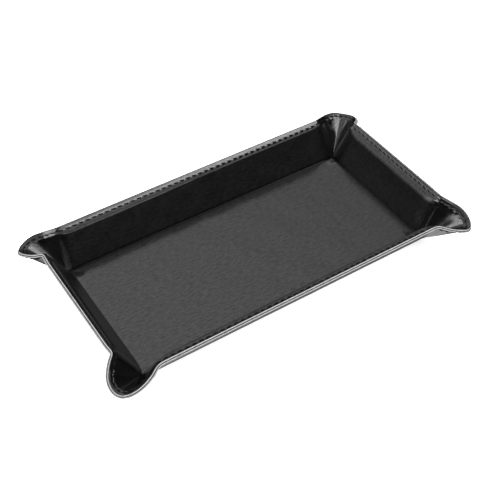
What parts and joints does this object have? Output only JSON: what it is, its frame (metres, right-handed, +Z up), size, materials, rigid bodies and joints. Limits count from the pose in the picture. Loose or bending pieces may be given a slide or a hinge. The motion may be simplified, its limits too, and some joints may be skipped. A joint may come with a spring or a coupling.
{
  "type": "folding dice tray",
  "caption": "Rectangular leather tray with raised sloping walls and open folded corner ears, stitched round the rim; its walls press flat.",
  "frame": {"origin": "on the ground, under the middle of the floor", "axes": "+X along the tray's length, +Y across it towards the back wall, +Z up"},
  "size_m": [0.2494, 0.1394, 0.0283],
  "materials": {
    "inner_leather": "smooth grain, satin",
    "outer_leather": "smooth grain, satin",
    "board": "raw grey fibreboard",
    "thread": "waxed twisted thread"
  },
  "bodies": {
    "floor": {"base_board": "board", "cover_floor": "outer_leather", "liner_floor": "inner_leather"},
    "wall_back": {"board_back": "board", "bobbin_thread_back": "thread", "cover_back": "outer_leather", "liner_back": "inner_leather", "needle_thread_back": "thread"},
    "wall_front": {"board_front": "board", "bobbin_thread_front": "thread", "cover_front": "outer_leather", "liner_front": "inner_leather", "needle_thread_front": "thread"},
    "wall_left": {"board_left": "board", "bobbin_thread_left": "thread", "cover_left": "outer_leather", "liner_left": "inner_leather", "needle_thread_left": "thread"},
    "wall_right": {"board_right": "board", "bobbin_thread_right": "thread", "cover_right": "outer_leather", "liner_right": "inner_leather", "needle_thread_right": "thread"},
    "ear_back_left_side": {"bobbin_thread_ear_back_left_side": "thread", "cover_ear_back_left_side": "outer_leather", "liner_ear_back_left_side": "inner_leather", "needle_thread_ear_back_left_side": "thread"},
    "ear_back_left_end": {"bobbin_thread_ear_back_left_end": "thread", "cover_ear_back_left_end": "outer_leather", "liner_ear_back_left_end": "inner_leather", "needle_thread_ear_back_left_end": "thread"},
    "ear_back_right_side": {"bobbin_thread_ear_back_right_side": "thread", "cover_ear_back_right_side": "outer_leather", "liner_ear_back_right_side": "inner_leather", "needle_thread_ear_back_right_side": "thread"},
    "ear_back_right_end": {"bobbin_thread_ear_back_right_end": "thread", "cover_ear_back_right_end": "outer_leather", "liner_ear_back_right_end": "inner_leather", "needle_thread_ear_back_right_end": "thread"},
    "ear_front_left_side": {"bobbin_thread_ear_front_left_side": "thread", "cover_ear_front_left_side": "outer_leather", "liner_ear_front_left_side": "inner_leather", "needle_thread_ear_front_left_side": "thread"},
    "ear_front_left_end": {"bobbin_thread_ear_front_left_end": "thread", "cover_ear_front_left_end": "outer_leather", "liner_ear_front_left_end": "inner_leather", "needle_thread_ear_front_left_end": "thread"},
    "ear_front_right_side": {"bobbin_thread_ear_front_right_side": "thread", "cover_ear_front_right_side": "outer_leather", "liner_ear_front_right_side": "inner_leather", "needle_thread_ear_front_right_side": "thread"},
    "ear_front_right_end": {"bobbin_thread_ear_front_right_end": "thread", "cover_ear_front_right_end": "outer_leather", "liner_ear_front_right_end": "inner_leather", "needle_thread_ear_front_right_end": "thread"}
  },
  "joints": [
    {"name": "fold_back", "type": "hinge", "parent": "floor", "child": "wall_back", "pos_m": [0, 0.04759, 0.0011], "axis": [-1, 0, 0], "range_deg": [0, 56.3]},
    {"name": "fold_front", "type": "hinge", "parent": "floor", "child": "wall_front", "pos_m": [0, -0.04759, 0.0011], "axis": [1, 0, 0], "range_deg": [0, 56.3]},
    {"name": "fold_left", "type": "hinge", "parent": "floor", "child": "wall_left", "pos_m": [-0.10153, 0, 0.0011], "axis": [0, -1, 0], "range_deg": [0, 60.9]},
    {"name": "fold_right", "type": "hinge", "parent": "floor", "child": "wall_right", "pos_m": [0.10153, 0, 0.0011], "axis": [0, 1, 0], "range_deg": [0, 60.9]},
    {"name": "bend_back_left", "type": "hinge", "parent": "wall_back", "child": "ear_back_left_side", "pos_m": [-0.10153, 0.04759, 0.0011], "axis": [0.1045, 0.5518, 0.8274], "range_deg": [0, 20.59]},
    {"name": "crease_back_left", "type": "hinge", "parent": "ear_back_left_side", "child": "ear_back_left_end", "pos_m": [-0.10153, 0.04759, 0.0011], "axis": [0.6577, -0.6168, -0.4323], "range_deg": [0, 110.83]},
    {"name": "bend_back_right", "type": "hinge", "parent": "wall_back", "child": "ear_back_right_side", "pos_m": [0.10153, 0.04759, 0.0011], "axis": [0.1045, -0.5518, -0.8274], "range_deg": [0, 20.59]},
    {"name": "crease_back_right", "type": "hinge", "parent": "ear_back_right_side", "child": "ear_back_right_end", "pos_m": [0.10153, 0.04759, 0.0011], "axis": [0.6577, 0.6168, 0.4323], "range_deg": [0, 110.83]},
    {"name": "bend_front_left", "type": "hinge", "parent": "wall_front", "child": "ear_front_left_side", "pos_m": [-0.10153, -0.04759, 0.0011], "axis": [-0.1045, 0.5518, -0.8274], "range_deg": [0, 20.59]},
    {"name": "crease_front_left", "type": "hinge", "parent": "ear_front_left_side", "child": "ear_front_left_end", "pos_m": [-0.10153, -0.04759, 0.0011], "axis": [-0.6577, -0.6168, 0.4323], "range_deg": [0, 110.83]},
    {"name": "bend_front_right", "type": "hinge", "parent": "wall_front", "child": "ear_front_right_side", "pos_m": [0.10153, -0.04759, 0.0011], "axis": [-0.1045, -0.5518, 0.8274], "range_deg": [0, 20.59]},
    {"name": "crease_front_right", "type": "hinge", "parent": "ear_front_right_side", "child": "ear_front_right_end", "pos_m": [0.10153, -0.04759, 0.0011], "axis": [-0.6577, 0.6168, -0.4323], "range_deg": [0, 110.83]}
  ],
  "couplings": [
    {"joint": "fold_front", "follows": "fold_back", "ratio": 1},
    {"joint": "fold_left", "follows": "fold_back", "ratio": 1.0817},
    {"joint": "fold_right", "follows": "fold_back", "ratio": 1.0817},
    {"joint": "bend_back_left", "follows": "fold_back", "ratio": 0.36574},
    {"joint": "crease_back_left", "follows": "fold_back", "ratio": 1.9685},
    {"joint": "bend_back_right", "follows": "fold_back", "ratio": 0.36574},
    {"joint": "crease_back_right", "follows": "fold_back", "ratio": 1.9685},
    {"joint": "bend_front_left", "follows": "fold_back", "ratio": 0.36574},
    {"joint": "crease_front_left", "follows": "fold_back", "ratio": 1.9685},
    {"joint": "bend_front_right", "follows": "fold_back", "ratio": 0.36574},
    {"joint": "crease_front_right", "follows": "fold_back", "ratio": 1.9685}
  ]
}
